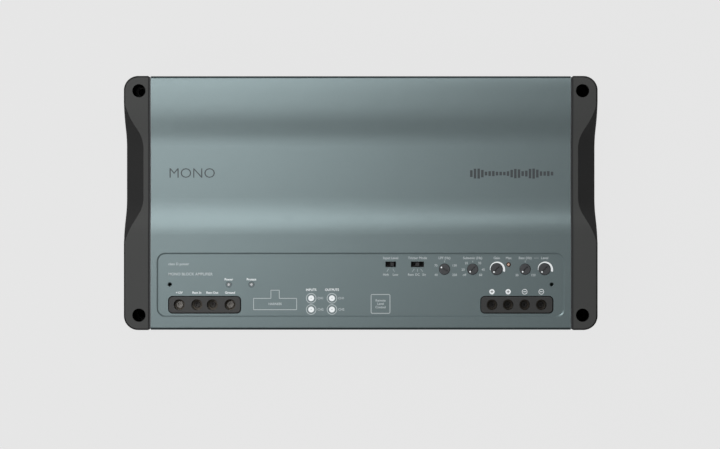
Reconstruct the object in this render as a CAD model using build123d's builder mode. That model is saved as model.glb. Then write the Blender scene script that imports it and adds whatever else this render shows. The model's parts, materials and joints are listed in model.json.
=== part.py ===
from build123d import *
import os

os.makedirs("parts", exist_ok=True)

# Car audio power amplifier, standing on its two end caps as it is bolted to a vehicle.
# Origin: centre of the footprint on the mounting surface. +X runs along the length, -Y is the
# side where the cables go in, +Z is up. All sizes are in millimetres.

# ---- overall sizes ----
length = 378.4
depth = 203.0
height = 56.0
half_length = length / 2
half_depth = depth / 2

# ---- end caps and the seam beside them ----
cap_width = 19.4
cap_corner_radius = 11.4
cap_edge_radius = 1.8
seam = 1.4
cap_inner = half_length - cap_width
body_half = cap_inner - seam
mounting_x = 177.1
mounting_y = 89.6
mounting_hole_radius = 2.75
mounting_counterbore_radius = 5.3
mounting_floor = 10.0

# ---- scoop in the outer side of each end cap: one outline that leans inwards towards the top, so it
# cuts nothing below the foot band and reaches scoop_waist at the full height ----
scoop_waist = 172.2
foot_band = 14.0
scoop_lean = (half_length - scoop_waist) / (height - foot_band)
scoop_rear = 75.0
scoop_waist_rear = 51.4
scoop_waist_front = -3.1
scoop_front = -27.3
scoop_waist_radius = 24.0
scoop_run_out_radius = 45.0
scoop_overlap = 0.2

# ---- wave across the top of cover and caps ----
valley_depth = 3.6
rear_crest_end = 84.0
valley_rear = 46.0
valley_front = 4.0
front_crest_start = -25.0
rear_edge_drop = 1.4

# ---- extruded cover ----
body_half_depth = 101.3
body_bottom = 1.0
body_edge_radius = 2.4
body_end_chamfer = 0.8
plate = 4.5
plate_underside = height - plate
rear_wall_inner = 93.4
lip_thickness = 3.0
lip_bottom = 45.5
groove_count = 7
groove_pitch = 6.0
groove_width = 3.0
groove_depth = 4.5
groove_first_z = 11.0
port_radius = 3.5
port_hole_radius = 1.3
port_z = 49.0
top_ports_y = (-77.0, -30.0, 79.0)
low_port_y = 80.5
low_port_z = 7.4
foot_flange_inner = 77.0
foot_flange_top = 6.5

# ---- control panel recess ----
panel_half_length = 163.0
panel_rear = -39.7
panel_front = -91.1
panel_corner_radius = 7.0
panel_depth = 1.2
panel_z = height - panel_depth
panel_centre_y = (panel_rear + panel_front) / 2

# ---- base plate and connector panel ----
base_z = 1.0
base_thickness = 2.0
base_top = base_z + base_thickness
base_rear = 98.0
base_front = -99.9
base_half = 168.0
sheet = 1.5
connector_y = -91.4
connector_inner_y = connector_y + sheet
connector_top = 51.2
flange_inner_y = -79.0

# ---- boards ----
board_z = 12.0
board_thickness = 1.6
board_top = board_z + board_thickness
board_half = 160.0
board_front = -89.0
board_rear = 87.0
control_z = 40.0
control_top = control_z + board_thickness
control_left = 10.0
control_right = 157.0
control_front = -71.5
control_rear = -40.0

# ---- screw terminals ----
terminal_x = 124.7
terminal_y = -81.3
terminal_length = 57.4
terminal_width = 13.2
terminal_radius = 3.1
terminal_gap = 0.5
terminal_top = 54.6
shoulder_z = 44.6
shoulder_half = 30.8
shoulder_front = -89.7
shoulder_rear = -72.8
nose_front = -93.0
nose_low = 22.0
nose_high = 40.0
nose_half = 28.6
port_centre_z = 31.0
lug_low = 24.5
lug_high = 42.0
lug_depth = 13.0
lug_clearance = 0.2
screw_length = 8.0
screw_rest_gap = 0.3
thread_clearance = 0.05

# name: x, bore radius, screw radius, lug width
power_terminals = {
    "12v": (-145.0, 4.5, 3.0, 12.4),
    "remote_in": (-130.9, 3.7, 2.5, 9.8),
    "remote_out": (-118.6, 3.7, 2.5, 9.8),
    "ground": (-104.4, 4.5, 3.0, 12.4),
}
speaker_terminals = {
    "speaker_plus_1": (104.8, 4.0, 2.5, 10.6),
    "speaker_plus_2": (117.7, 4.0, 2.5, 10.6),
    "speaker_minus_1": (130.9, 4.0, 2.5, 10.6),
    "speaker_minus_2": (144.2, 4.0, 2.5, 10.6),
}
power_access_radius = 4.4
speaker_access_radius = 4.25

# ---- rotary controls: x, cap radius, direction of the dot in degrees from +X ----
knob_y = -52.9
knob_top = 55.5
knob_cap_height = 2.2
knob_gap = 0.3
stem_radius = 3.0
stem_clearance = 0.05
pot_size = 10.4
pot_height = 6.4
knobs = {
    "low_pass": (66.9, 4.2, 150),
    "subsonic": (89.4, 4.2, 225),
    "gain": (108.6, 4.5, 225),
    "bass_frequency": (131.3, 4.2, 225),
    "bass_level": (146.9, 4.5, 225),
}

# ---- slide switches: x, window width, lever offset at rest ----
switch_y = -49.0
window_height = 4.4
lever_width = 3.0
lever_depth = 3.4
switch_travel = 2.5
switches = {
    "input_level": (23.9, 8.4, switch_travel / 2),
    "trigger_mode": (45.3, 10.4, 0.0),
}

# ---- indicators ----
peak_x = 118.1
peak_y = -49.2
peak_radius = 1.6
power_light_x = -105.4
protect_light_x = -87.3
light_y = -65.1
pipe_radius = 1.4
light_clearance = 0.2

# ---- threaded holes for a cover over the control panel ----
cover_hole_x = 152.5
cover_hole_y = -65.1
cover_hole_radius = 1.25

# ---- connectors on the connector panel ----
rca_columns = (-39.6, -23.0)
rca_rows = (20.6, 34.6)
rca_radius = 4.15
rca_length = 9.0
rca_nose_radius = 5.3
rca_nose_front = -91.8
rca_block_half = 17.3
rca_block_top = 42.4
harness_x = -68.2
harness_half = 17.5
harness_low = 16.4
harness_high = 25.4
harness_wall = 1.4
harness_front = -92.2
remote_x = 15.8
remote_half = 7.6
remote_top = 28.2
remote_opening_half = 5.9
remote_opening_low = 17.0
remote_opening_high = 24.4

# ---- fasteners ----
m3_radius = 1.25
m3_head_radius = 2.75
m3_head_height = 2.0
m3_thread_radius = 1.3
end_screw_seat = 176.2
end_screw_bore_radius = 3.2
standoff_places = [(x, y) for x in (-150.0, 0.0, 150.0) for y in (-60.0, 70.0)]
rear_screws_x = (-154.0, -77.0, 0.0, 77.0, 154.0)
rear_screws_y = 88.0
front_screws_x = (-154.0, -90.0, 0.0, 60.0, 154.0)
front_screws_y = -84.0
spacer_places = [(x, y) for x in (14.0, 145.5) for y in (-66.5, -44.5)]

# ---- parts on the main board ----
transistor_pitch = 24.0
transistor_count = 12
transistor_z = 16.0
transistor_height = 16.0
transistor_width = 10.0
transistor_thickness = 4.5
clamp_z = 26.0
clamp_screws_x = (-120.0, -72.0, -24.0, 24.0, 72.0, 120.0)


# Top line of the cross-section from the rear corner to the front corner, seen along X.
# Drawn inside a BuildLine on Plane.YZ; lowered moves the whole line down.
def wave_line(rear_y, front_y, lowered=0.0):
    crest = height - lowered
    valley = crest - valley_depth
    rear_edge = crest - rear_edge_drop
    crest_end = (rear_crest_end, crest)
    Bezier((rear_y, rear_edge), (rear_crest_end + 13, crest), (rear_crest_end + 8, crest), crest_end)
    Bezier(crest_end, (60.5, crest), (62, valley), (valley_rear, valley))
    Line((valley_rear, valley), (valley_front, valley))
    Bezier((valley_front, valley), (-14, valley), (-11, crest), (front_crest_start, crest))
    Line((front_crest_start, crest), (front_y, crest))


# Closed cross-section under the wave, down to the level called bottom.
def wave_section(half_width, bottom, lowered=0.0):
    with BuildLine() as outline:
        wave_line(half_width, -half_width, lowered)
        Polyline(
            (-half_width, height - lowered),
            (-half_width, bottom),
            (half_width, bottom),
            (half_width, height - lowered - rear_edge_drop),
        )
    make_face(outline.edges())


# ================================================================ enclosure

with BuildPart() as heatsink_body:
    with BuildSketch(Plane.YZ) as cover_section:
        wave_section(body_half_depth, body_bottom)
        fillet(cover_section.vertices().filter_by(lambda v: v.Y > 50 and abs(v.X) > 100), body_edge_radius)
    extrude(amount=body_half, both=True)
    top_end_edges = heatsink_body.edges().filter_by(
        lambda e: abs(e.center().X) > body_half - 0.01 and e.center().Z > height - valley_depth - 0.1
    )
    chamfer(top_end_edges, body_end_chamfer)
    # hollow inside, open at the bottom and below the front lip
    with BuildSketch(Plane.YZ):
        with BuildLine():
            Polyline(
                (base_rear + 0.2, body_bottom),
                (base_rear + 0.2, base_top),
                (foot_flange_inner, base_top),
                (foot_flange_inner, foot_flange_top),
                (rear_wall_inner, foot_flange_top),
                (rear_wall_inner, plate_underside),
                (74, plate_underside),
                (46, plate_underside - valley_depth),
                (-2, plate_underside - valley_depth),
                (-26, plate_underside),
                (-body_half_depth + lip_thickness, plate_underside),
                (-body_half_depth + lip_thickness, lip_bottom),
                (-body_half_depth - 1, lip_bottom),
                (-body_half_depth - 1, body_bottom),
                close=True,
            )
        make_face()
    extrude(amount=body_half, both=True, mode=Mode.SUBTRACT)
    # cooling grooves along the rear wall
    with BuildSketch(Plane.YZ):
        for i in range(groove_count):
            with Locations((body_half_depth, groove_first_z + i * groove_pitch)):
                SlotOverall(2 * groove_depth, groove_width)
    extrude(amount=body_half, both=True, mode=Mode.SUBTRACT)
    # screw ports for the end caps and the rib that backs the connector panel
    with BuildSketch(Plane.YZ):
        with Locations([(y, port_z) for y in top_ports_y] + [(low_port_y, low_port_z)]):
            Circle(port_radius)
        with Locations((connector_y - 1.1, plate_underside - 1.2)):
            Rectangle(1.8, 3.2)
    extrude(amount=body_half, both=True)
    with BuildSketch(Plane.YZ):
        with Locations([(y, port_z) for y in top_ports_y] + [(low_port_y, low_port_z)]):
            Circle(port_hole_radius)
    extrude(amount=body_half, both=True, mode=Mode.SUBTRACT)
    # control panel recess with sloped walls
    with BuildSketch(Plane.XY.offset(height)):
        with Locations((0, panel_centre_y)):
            RectangleRounded(2 * panel_half_length, panel_rear - panel_front, panel_corner_radius)
    with BuildSketch(Plane.XY.offset(panel_z)):
        with Locations((0, panel_centre_y)):
            RectangleRounded(
                2 * (panel_half_length - panel_depth),
                panel_rear - panel_front - 2 * panel_depth,
                panel_corner_radius - panel_depth,
            )
    loft(ruled=True, mode=Mode.SUBTRACT)
    # openings for the terminal housings, which also part the front screw port
    with BuildSketch(Plane.XY.offset(height)):
        with Locations((-terminal_x, terminal_y), (terminal_x, terminal_y)):
            RectangleRounded(
                terminal_length + 2 * terminal_gap,
                terminal_width + 2 * terminal_gap,
                terminal_radius + terminal_gap,
            )
    extrude(amount=-(height - shoulder_z), mode=Mode.SUBTRACT)
    # holes for knobs, switch levers and indicators
    with BuildSketch(Plane.XY.offset(height)):
        for x, radius, _ in knobs.values():
            with Locations((x, knob_y)):
                Circle(radius + knob_gap)
        for x, width, _ in switches.values():
            with Locations((x, switch_y)):
                Rectangle(width, window_height)
        with Locations((peak_x, peak_y)):
            Circle(peak_radius + light_clearance)
        with Locations((power_light_x, light_y), (protect_light_x, light_y)):
            Circle(pipe_radius + light_clearance)
    extrude(amount=-8, mode=Mode.SUBTRACT)
    with Locations((-cover_hole_x, cover_hole_y, panel_z), (cover_hole_x, cover_hole_y, panel_z)):
        CounterSinkHole(cover_hole_radius, cover_hole_radius + 0.6, depth=8)
    # blind holes for the transistor clamp and the base plate
    with Locations(*[Plane((x, rear_wall_inner, clamp_z), z_dir=(0, -1, 0)) for x in clamp_screws_x]):
        Hole(m3_thread_radius, depth=6)
    with Locations(*[Plane((x, rear_screws_y, base_top), z_dir=(0, 0, -1)) for x in rear_screws_x]):
        Hole(m3_thread_radius, depth=8)
heatsink_body.part.label = "heatsink_body"
export_step(heatsink_body.part, "parts/heatsink_body.step")

with BuildPart() as right_end_cap:
    with BuildSketch(Plane.YZ.offset(cap_inner)):
        wave_section(half_depth, 0)
    extrude(amount=cap_width)
    upright_edges = right_end_cap.edges().filter_by(Axis.Z)
    fillet(upright_edges.filter_by(lambda e: e.center().X > cap_inner + 1), cap_corner_radius)
    rim_start = right_end_cap.edges().filter_by(lambda e: e.center().Z > height - valley_depth - 0.2)
    wave_seams = rim_start.filter_by(Axis.X).filter_by(lambda e: abs(e.center().Y) < half_depth - 1)
    inner_edges = rim_start.filter_by(lambda e: e.center().X < cap_inner + 0.1)
    fillet(rim_start - wave_seams - inner_edges, cap_edge_radius)
    # scoop in the outer side
    for z in (0.0, height):
        waist = scoop_waist + scoop_lean * (height - z)
        outside = waist + half_length + scoop_overlap - scoop_waist
        far = outside + cap_width
        with BuildSketch(Plane.XY.offset(z)) as scoop_outline:
            with BuildLine():
                Polyline(
                    (outside, half_depth + 5),
                    (outside, scoop_rear),
                    (waist, scoop_waist_rear),
                    (waist, scoop_waist_front),
                    (outside, scoop_front),
                    (outside, -half_depth - 5),
                    (far, -half_depth - 5),
                    (far, half_depth + 5),
                    close=True,
                )
            make_face()
            waist_corners = scoop_outline.vertices().filter_by(lambda v: v.X < waist + 1)
            fillet(waist_corners, scoop_waist_radius)
            run_outs = scoop_outline.vertices().filter_by(lambda v: v.X < outside + 1 and abs(v.Y) < half_depth)
            fillet(run_outs.filter_by(lambda v: v.X > outside - 0.1), scoop_run_out_radius)
    loft(ruled=True, mode=Mode.SUBTRACT)
    # mounting holes, counterbored from the top
    for y in (-mounting_y, mounting_y):
        with Locations((mounting_x, y, mounting_floor)):
            Hole(mounting_hole_radius, depth=mounting_floor)
        with Locations((mounting_x, y, height)):
            Hole(mounting_counterbore_radius, depth=height - mounting_floor)
    # counterbored holes for the screws into the cover's ports
    for y, z in [(y, port_z) for y in top_ports_y] + [(low_port_y, low_port_z)]:
        with Locations(Plane((half_length, y, z), z_dir=(1, 0, 0))):
            CounterBoreHole(1.6, end_screw_bore_radius, half_length - end_screw_seat, depth=cap_width)
    # casting pockets in the hidden inner face
    with BuildSketch(Plane.YZ.offset(cap_inner)):
        with Locations((-54.0, 26.0)):
            RectangleRounded(30.0, 42.0, 3.0)
    extrude(amount=15.0, mode=Mode.SUBTRACT)
    with BuildSketch(Plane.YZ.offset(cap_inner)):
        with Locations((22.0, 17.0)):
            RectangleRounded(86.0, 24.0, 3.0)
    extrude(amount=5.5, mode=Mode.SUBTRACT)
right_end_cap.part.label = "right_end_cap"
export_step(right_end_cap.part, "parts/right_end_cap.step")

with BuildPart() as left_end_cap:
    mirror(right_end_cap.part, about=Plane.YZ)
left_end_cap.part.label = "left_end_cap"
export_step(left_end_cap.part, "parts/left_end_cap.step")

gasket_inset = 0.9
gasket_width = 3.2
with BuildPart() as right_end_gasket:
    with BuildSketch(Plane.YZ.offset(body_half)):
        wave_section(body_half_depth - gasket_inset, body_bottom + gasket_inset, gasket_inset)
    extrude(amount=seam)
    with BuildSketch(Plane.YZ.offset(body_half)):
        wave_section(
            body_half_depth - gasket_inset - gasket_width,
            body_bottom + gasket_inset + gasket_width,
            gasket_inset + gasket_width,
        )
    extrude(amount=seam, mode=Mode.SUBTRACT)
right_end_gasket.part.label = "right_end_gasket"
export_step(right_end_gasket.part, "parts/right_end_gasket.step")

with BuildPart() as left_end_gasket:
    mirror(right_end_gasket.part, about=Plane.YZ)
left_end_gasket.part.label = "left_end_gasket"
export_step(left_end_gasket.part, "parts/left_end_gasket.step")

with BuildPart() as base_plate:
    with BuildSketch(Plane.XY.offset(base_z)):
        with Locations((0, (base_front + base_rear) / 2)):
            RectangleRounded(2 * base_half, base_rear - base_front, 2.0)
    extrude(amount=base_thickness)
    base_screws = [(x, rear_screws_y) for x in rear_screws_x]
    base_screws += [(x, front_screws_y) for x in front_screws_x]
    base_screws += standoff_places
    with Locations(*[Plane((x, y, base_z), z_dir=(0, 0, -1)) for x, y in base_screws]):
        CounterSinkHole(1.5, 2.8, depth=base_thickness, counter_sink_angle=90)
base_plate.part.label = "base_plate"
export_step(base_plate.part, "parts/base_plate.step")

with BuildPart() as base_plate_screws:
    for x, y in base_screws:
        with Locations((x, y, base_z + 0.7)):
            Cone(2.7, m3_radius, 1.4)
        with Locations((x, y, base_z + 4.2)):
            Cylinder(m3_radius, 5.6)
        with BuildSketch(Plane.XY.offset(base_z)):
            with Locations((x, y)):
                Rectangle(2.6, 0.6)
                Rectangle(0.6, 2.6)
        extrude(amount=0.9, mode=Mode.SUBTRACT)
base_plate_screws.part.label = "base_plate_screws"
export_step(base_plate_screws.part, "parts/base_plate_screws.step")

with BuildPart() as connector_panel:
    with BuildSketch(Plane.YZ):
        with BuildLine():
            FilletPolyline(
                (connector_y, connector_top),
                (connector_y, base_top),
                (flange_inner_y, base_top),
                radius=2.0,
            )
            Line((flange_inner_y, base_top), (flange_inner_y, base_top + sheet))
            FilletPolyline(
                (flange_inner_y, base_top + sheet),
                (connector_inner_y, base_top + sheet),
                (connector_inner_y, connector_top),
                radius=0.5,
            )
            Line((connector_inner_y, connector_top), (connector_y, connector_top))
        make_face()
    extrude(amount=base_half, both=True)
    with BuildSketch(Plane.XZ.offset(-connector_inner_y)):
        with Locations(*[(x, z) for x in rca_columns for z in rca_rows]):
            Circle(rca_nose_radius + 0.2)
        with Locations((harness_x, (harness_low + harness_high) / 2)):
            Rectangle(
                2 * (harness_half + harness_wall + 0.3),
                harness_high - harness_low + 2 * harness_wall + 0.6,
            )
        with Locations((remote_x, (remote_opening_low + remote_opening_high) / 2)):
            Rectangle(2 * remote_opening_half + 3.0, remote_opening_high - remote_opening_low + 3.0)
        with Locations(*[(x, (nose_low + nose_high) / 2) for x in (-terminal_x, terminal_x)]):
            Rectangle(2 * nose_half + 0.6, nose_high - nose_low + 0.6)
    extrude(amount=sheet, mode=Mode.SUBTRACT)
    with Locations(*[(x, front_screws_y, base_top + sheet) for x in front_screws_x]):
        Hole(m3_thread_radius, depth=sheet)
connector_panel.part.label = "connector_panel"
export_step(connector_panel.part, "parts/connector_panel.step")

with BuildPart() as end_cap_screws:
    for side in (-1, 1):
        for y, z in [(y, port_z) for y in top_ports_y] + [(low_port_y, low_port_z)]:
            seat = Plane((side * end_screw_seat, y, z), z_dir=(side, 0, 0))
            with BuildSketch(seat):
                Circle(m3_head_radius)
            extrude(amount=m3_head_height)
            with BuildSketch(seat):
                Circle(m3_radius)
            extrude(amount=-16.0)
            with BuildSketch(seat.offset(m3_head_height)):
                RegularPolygon(1.25, 6, major_radius=False)
            extrude(amount=-1.2, mode=Mode.SUBTRACT)
end_cap_screws.part.label = "end_cap_screws"
export_step(end_cap_screws.part, "parts/end_cap_screws.step")

# ================================================================ screw terminals

terminal_groups = {
    "power": (-terminal_x, power_terminals, power_access_radius),
    "speaker": (terminal_x, speaker_terminals, speaker_access_radius),
}

for group, (centre_x, terminals, access_radius) in terminal_groups.items():
    # Moulded block that stands on the main board, fills the cover's opening and pokes its nose with
    # the wire entries through the connector panel. The lugs go in from below.
    with BuildPart() as terminal_housing:
        with BuildSketch(Plane.XY.offset(shoulder_z)):
            with Locations((centre_x, terminal_y)):
                RectangleRounded(terminal_length, terminal_width, terminal_radius)
        extrude(amount=terminal_top - shoulder_z)
        fillet(terminal_housing.faces().sort_by(Axis.Z)[-1].edges(), 0.6)
        with BuildSketch(Plane.XY.offset(board_top)):
            with Locations((centre_x, (shoulder_front + shoulder_rear) / 2)):
                Rectangle(2 * shoulder_half, shoulder_rear - shoulder_front)
        extrude(amount=shoulder_z - board_top)
        with BuildSketch(Plane.XZ.offset(-shoulder_front)):
            with Locations((centre_x, (nose_low + nose_high) / 2)):
                RectangleRounded(2 * nose_half, nose_high - nose_low, 1.5)
        extrude(amount=shoulder_front - nose_front)
        for x, bore_radius, _, lug_width in terminals.values():
            with BuildSketch(Plane.XY.offset(board_top)):
                with Locations((x, terminal_y)):
                    Rectangle(lug_width + 2 * lug_clearance, lug_depth + 2 * lug_clearance)
            extrude(amount=lug_high - board_top, mode=Mode.SUBTRACT)
            with BuildSketch(Plane.XY.offset(terminal_top)):
                with Locations((x, terminal_y)):
                    Circle(access_radius)
            extrude(amount=-(terminal_top - lug_high), mode=Mode.SUBTRACT)
            with BuildSketch(Plane.XZ.offset(-nose_front)):
                with Locations((x, port_centre_z)):
                    Circle(bore_radius + 0.5)
            extrude(amount=nose_front - terminal_y, mode=Mode.SUBTRACT)
    terminal_housing.part.label = f"{group}_terminal_housing"
    export_step(terminal_housing.part, f"parts/{group}_terminal_housing.step")

    # Plated brass lugs: a wire bore along Y, a threaded hole from the top and a leg into the board
    with BuildPart() as terminal_lugs:
        for x, bore_radius, screw_radius, lug_width in terminals.values():
            with BuildSketch(Plane.XY.offset(lug_low)):
                with Locations((x, terminal_y)):
                    RectangleRounded(lug_width, lug_depth, 0.4)
            extrude(amount=lug_high - lug_low)
            with BuildSketch(Plane.XY.offset(board_top)):
                with Locations((x, terminal_y)):
                    Rectangle(lug_width - 3.0, lug_depth - 4.0)
            extrude(amount=lug_low - board_top)
            with BuildSketch(Plane.XZ.offset(-terminal_y)):
                with Locations((x, port_centre_z)):
                    Circle(bore_radius)
            extrude(amount=lug_depth, both=True, mode=Mode.SUBTRACT)
            with BuildSketch(Plane.XY.offset(lug_high)):
                with Locations((x, terminal_y)):
                    Circle(screw_radius)
            extrude(amount=-(lug_high - port_centre_z), mode=Mode.SUBTRACT)
    terminal_lugs.part.label = f"{group}_terminal_lugs"
    export_step(terminal_lugs.part, f"parts/{group}_terminal_lugs.step")

for name, (x, bore_radius, screw_radius, _) in (power_terminals | speaker_terminals).items():
    tip_z = port_centre_z + bore_radius + screw_rest_gap
    with BuildPart() as set_screw:
        with BuildSketch(Plane.XY.offset(tip_z)):
            with Locations((x, terminal_y)):
                Circle(screw_radius - thread_clearance)
        extrude(amount=screw_length)
        chamfer(set_screw.edges().group_by(Axis.Z)[0], 0.6)
        chamfer(set_screw.edges().group_by(Axis.Z)[-1], 0.3)
        with BuildSketch(Plane.XY.offset(tip_z + screw_length)):
            with Locations((x, terminal_y)):
                RegularPolygon(screw_radius * 0.5, 6, major_radius=False)
        extrude(amount=-screw_length / 2, mode=Mode.SUBTRACT)
    set_screw.part.label = f"set_screw_{name}"
    export_step(set_screw.part, f"parts/set_screw_{name}.step")

# ================================================================ controls and indicators

for name, (x, radius, dot_angle) in knobs.items():
    with BuildPart() as knob:
        with BuildSketch(Plane.XY.offset(knob_top - knob_cap_height)):
            with Locations((x, knob_y)):
                Circle(radius)
        extrude(amount=knob_cap_height)
        fillet(knob.edges().group_by(Axis.Z)[-1], 0.35)
        with BuildSketch(Plane.XY.offset(knob_top)):
            with Locations(Location((x, knob_y), dot_angle)):
                SlotOverall(2 * radius - 2.2, 1.0)
        extrude(amount=-1.2, mode=Mode.SUBTRACT)
        with BuildSketch(Plane.XY.offset(knob_top - knob_cap_height)):
            with Locations((x, knob_y)):
                Circle(stem_radius)
        extrude(amount=-(knob_top - knob_cap_height - control_top - 2.4))
    knob.part.label = f"{name}_knob"
    export_step(knob.part, f"parts/{name}_knob.step")
    with BuildPart() as pot:
        with BuildSketch(Plane.XY.offset(control_top)):
            with Locations((x, knob_y)):
                RectangleRounded(pot_size, pot_size, 0.8)
        extrude(amount=pot_height)
        with BuildSketch(Plane.XY.offset(control_top + 2.2)):
            with Locations((x, knob_y)):
                Circle(stem_radius + stem_clearance)
        extrude(amount=pot_height, mode=Mode.SUBTRACT)
    pot.part.label = f"{name}_pot"
    export_step(pot.part, f"parts/{name}_pot.step")

switch_low = 48.6
switch_floor = 45.4
for name, (x, width, offset_x) in switches.items():
    slot_half = width / 2 + 1.0
    with BuildPart() as housing:
        with BuildSketch(Plane.XY.offset(control_top)):
            with Locations((x, switch_y)):
                Rectangle(width + 5.0, window_height + 2.6)
        extrude(amount=switch_low - control_top)
        with BuildSketch(Plane.XY.offset(switch_floor)):
            with Locations((x, switch_y)):
                Rectangle(2 * slot_half, lever_depth + 0.3)
        extrude(amount=switch_low - switch_floor, mode=Mode.SUBTRACT)
    housing.part.label = f"{name}_switch_housing"
    export_step(housing.part, f"parts/{name}_switch_housing.step")
    with BuildPart() as lever:
        with BuildSketch(Plane.XY.offset(switch_floor + 0.05)):
            with Locations((x + offset_x, switch_y)):
                Rectangle(lever_width, lever_depth)
        extrude(amount=panel_z - 0.9 - switch_floor - 0.05)
        chamfer(lever.edges().group_by(Axis.Z)[-1], 0.35)
        # grip groove across the nub
        with BuildSketch(Plane.XY.offset(panel_z - 0.9)):
            with Locations((x + offset_x, switch_y)):
                Rectangle(0.7, lever_depth)
        extrude(amount=-0.6, mode=Mode.SUBTRACT)
    lever.part.label = f"{name}_switch_lever"
    export_step(lever.part, f"parts/{name}_switch_lever.step")

with BuildPart() as peak_led:
    with BuildSketch(Plane.XY.offset(control_top)):
        with Locations((peak_x, peak_y)):
            Circle(peak_radius)
    extrude(amount=panel_z - 0.6 - control_top)
    with Locations((peak_x, peak_y, panel_z - 0.6)):
        Sphere(peak_radius)
peak_led.part.label = "peak_led"
export_step(peak_led.part, "parts/peak_led.step")

led_height = 3.0
for name, x in (("power", power_light_x), ("protect", protect_light_x)):
    with BuildPart() as light_pipe:
        with BuildSketch(Plane.XY.offset(board_top + led_height + 0.4)):
            with Locations((x, light_y)):
                Circle(pipe_radius)
        extrude(amount=panel_z + 0.3 - board_top - led_height - 0.4)
        fillet(light_pipe.edges().group_by(Axis.Z)[-1], 0.5)
        # collar that holds the pipe against the underside of the cover
        with BuildSketch(Plane.XY.offset(plate_underside - 2.0)):
            with Locations((x, light_y)):
                Circle(pipe_radius + 1.2)
        extrude(amount=1.8)
    light_pipe.part.label = f"{name}_light_pipe"
    export_step(light_pipe.part, f"parts/{name}_light_pipe.step")

with BuildPart() as indicator_leds:
    with BuildSketch(Plane.XY.offset(board_top)):
        with Locations((power_light_x, light_y), (protect_light_x, light_y)):
            Rectangle(3.2, 2.8)
    extrude(amount=led_height - 1.0)
    with BuildSketch(Plane.XY.offset(board_top + led_height - 1.0)):
        with Locations((power_light_x, light_y), (protect_light_x, light_y)):
            Circle(1.2)
    extrude(amount=1.0)
indicator_leds.part.label = "indicator_leds"
export_step(indicator_leds.part, "parts/indicator_leds.step")

# ================================================================ connectors

rca_x = sum(rca_columns) / 2
rca_block_front = connector_inner_y + 0.1
rca_places = [(x, z) for x in rca_columns for z in rca_rows]

with BuildPart() as rca_block:
    with BuildSketch(Plane.XY.offset(board_top)):
        with Locations((rca_x, rca_block_front + 7.8)):
            Rectangle(2 * rca_block_half, 15.6)
    extrude(amount=rca_block_top - board_top)
    with BuildSketch(Plane.XZ.offset(-rca_block_front)):
        with Locations(*rca_places):
            Circle(rca_nose_radius)
    extrude(amount=rca_block_front - rca_nose_front)
    # seats for the shells
    with BuildSketch(Plane.XZ.offset(-rca_nose_front)):
        with Locations(*rca_places):
            Circle(rca_radius - 0.4)
    extrude(amount=-6.0, mode=Mode.SUBTRACT)
rca_block.part.label = "rca_block"
export_step(rca_block.part, "parts/rca_block.step")

with BuildPart() as rca_barrels:
    with BuildSketch(Plane.XZ.offset(-rca_nose_front)):
        with Locations(*rca_places):
            Circle(rca_radius)
    extrude(amount=rca_length)
    chamfer(rca_barrels.edges().group_by(Axis.Y)[0], 0.3)
    with BuildSketch(Plane.XZ.offset(-rca_nose_front)):
        with Locations(*rca_places):
            Circle(rca_radius - 0.45)
    extrude(amount=-5.9)
    with BuildSketch(Plane.XZ.offset(-rca_nose_front + rca_length)):
        with Locations(*rca_places):
            Circle(3.35)
    extrude(amount=-rca_length - 4.5, mode=Mode.SUBTRACT)
rca_barrels.part.label = "rca_barrels"
export_step(rca_barrels.part, "parts/rca_barrels.step")

with BuildPart() as rca_insulators:
    with BuildSketch(Plane.XZ.offset(-rca_nose_front + rca_length - 0.8)):
        with Locations(*rca_places):
            Circle(3.3)
            Circle(1.6, mode=Mode.SUBTRACT)
    extrude(amount=-rca_length - 3.5)
rca_insulators.part.label = "rca_insulators"
export_step(rca_insulators.part, "parts/rca_insulators.step")

harness_depth = 18.0
with BuildPart() as harness_header:
    with BuildSketch(Plane.XZ.offset(-harness_front)):
        with Locations((harness_x, (harness_low + harness_high) / 2)):
            Rectangle(2 * (harness_half + harness_wall), harness_high - harness_low + 2 * harness_wall)
    extrude(amount=-harness_depth)
    # keyway for the plug's latch in the middle of the upper wall
    with BuildSketch(Plane.XZ.offset(-harness_front)):
        with Locations((harness_x, (harness_low + harness_high) / 2)):
            Rectangle(2 * harness_half, harness_high - harness_low)
        with Locations((harness_x, harness_high)):
            Rectangle(6.7, 4.0)
    extrude(amount=-(harness_depth - 3.0), mode=Mode.SUBTRACT)
    # foot down to the board, behind the connector panel
    with BuildSketch(Plane.XY.offset(board_top)):
        with Locations((harness_x, harness_front + harness_depth - 6.0)):
            Rectangle(2 * (harness_half + harness_wall), 12.0)
    extrude(amount=harness_low - harness_wall - board_top)
    with BuildSketch(Plane.XZ.offset(-(harness_front + harness_depth))):
        with GridLocations(2.0, 4.0, 17, 2):
            with Locations((harness_x, (harness_low + harness_high) / 2)):
                Rectangle(0.8, 0.8)
    extrude(amount=3.0, mode=Mode.SUBTRACT)
harness_header.part.label = "harness_header"
export_step(harness_header.part, "parts/harness_header.step")

with BuildPart() as harness_pins:
    with BuildSketch(Plane.XZ.offset(-(harness_front + harness_depth))):
        with GridLocations(2.0, 4.0, 17, 2):
            with Locations((harness_x, (harness_low + harness_high) / 2)):
                Rectangle(0.7, 0.7)
    extrude(amount=11.0)
    chamfer(harness_pins.edges().group_by(Axis.Y)[0], 0.2)
harness_pins.part.label = "harness_pins"
export_step(harness_pins.part, "parts/harness_pins.step")

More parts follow.
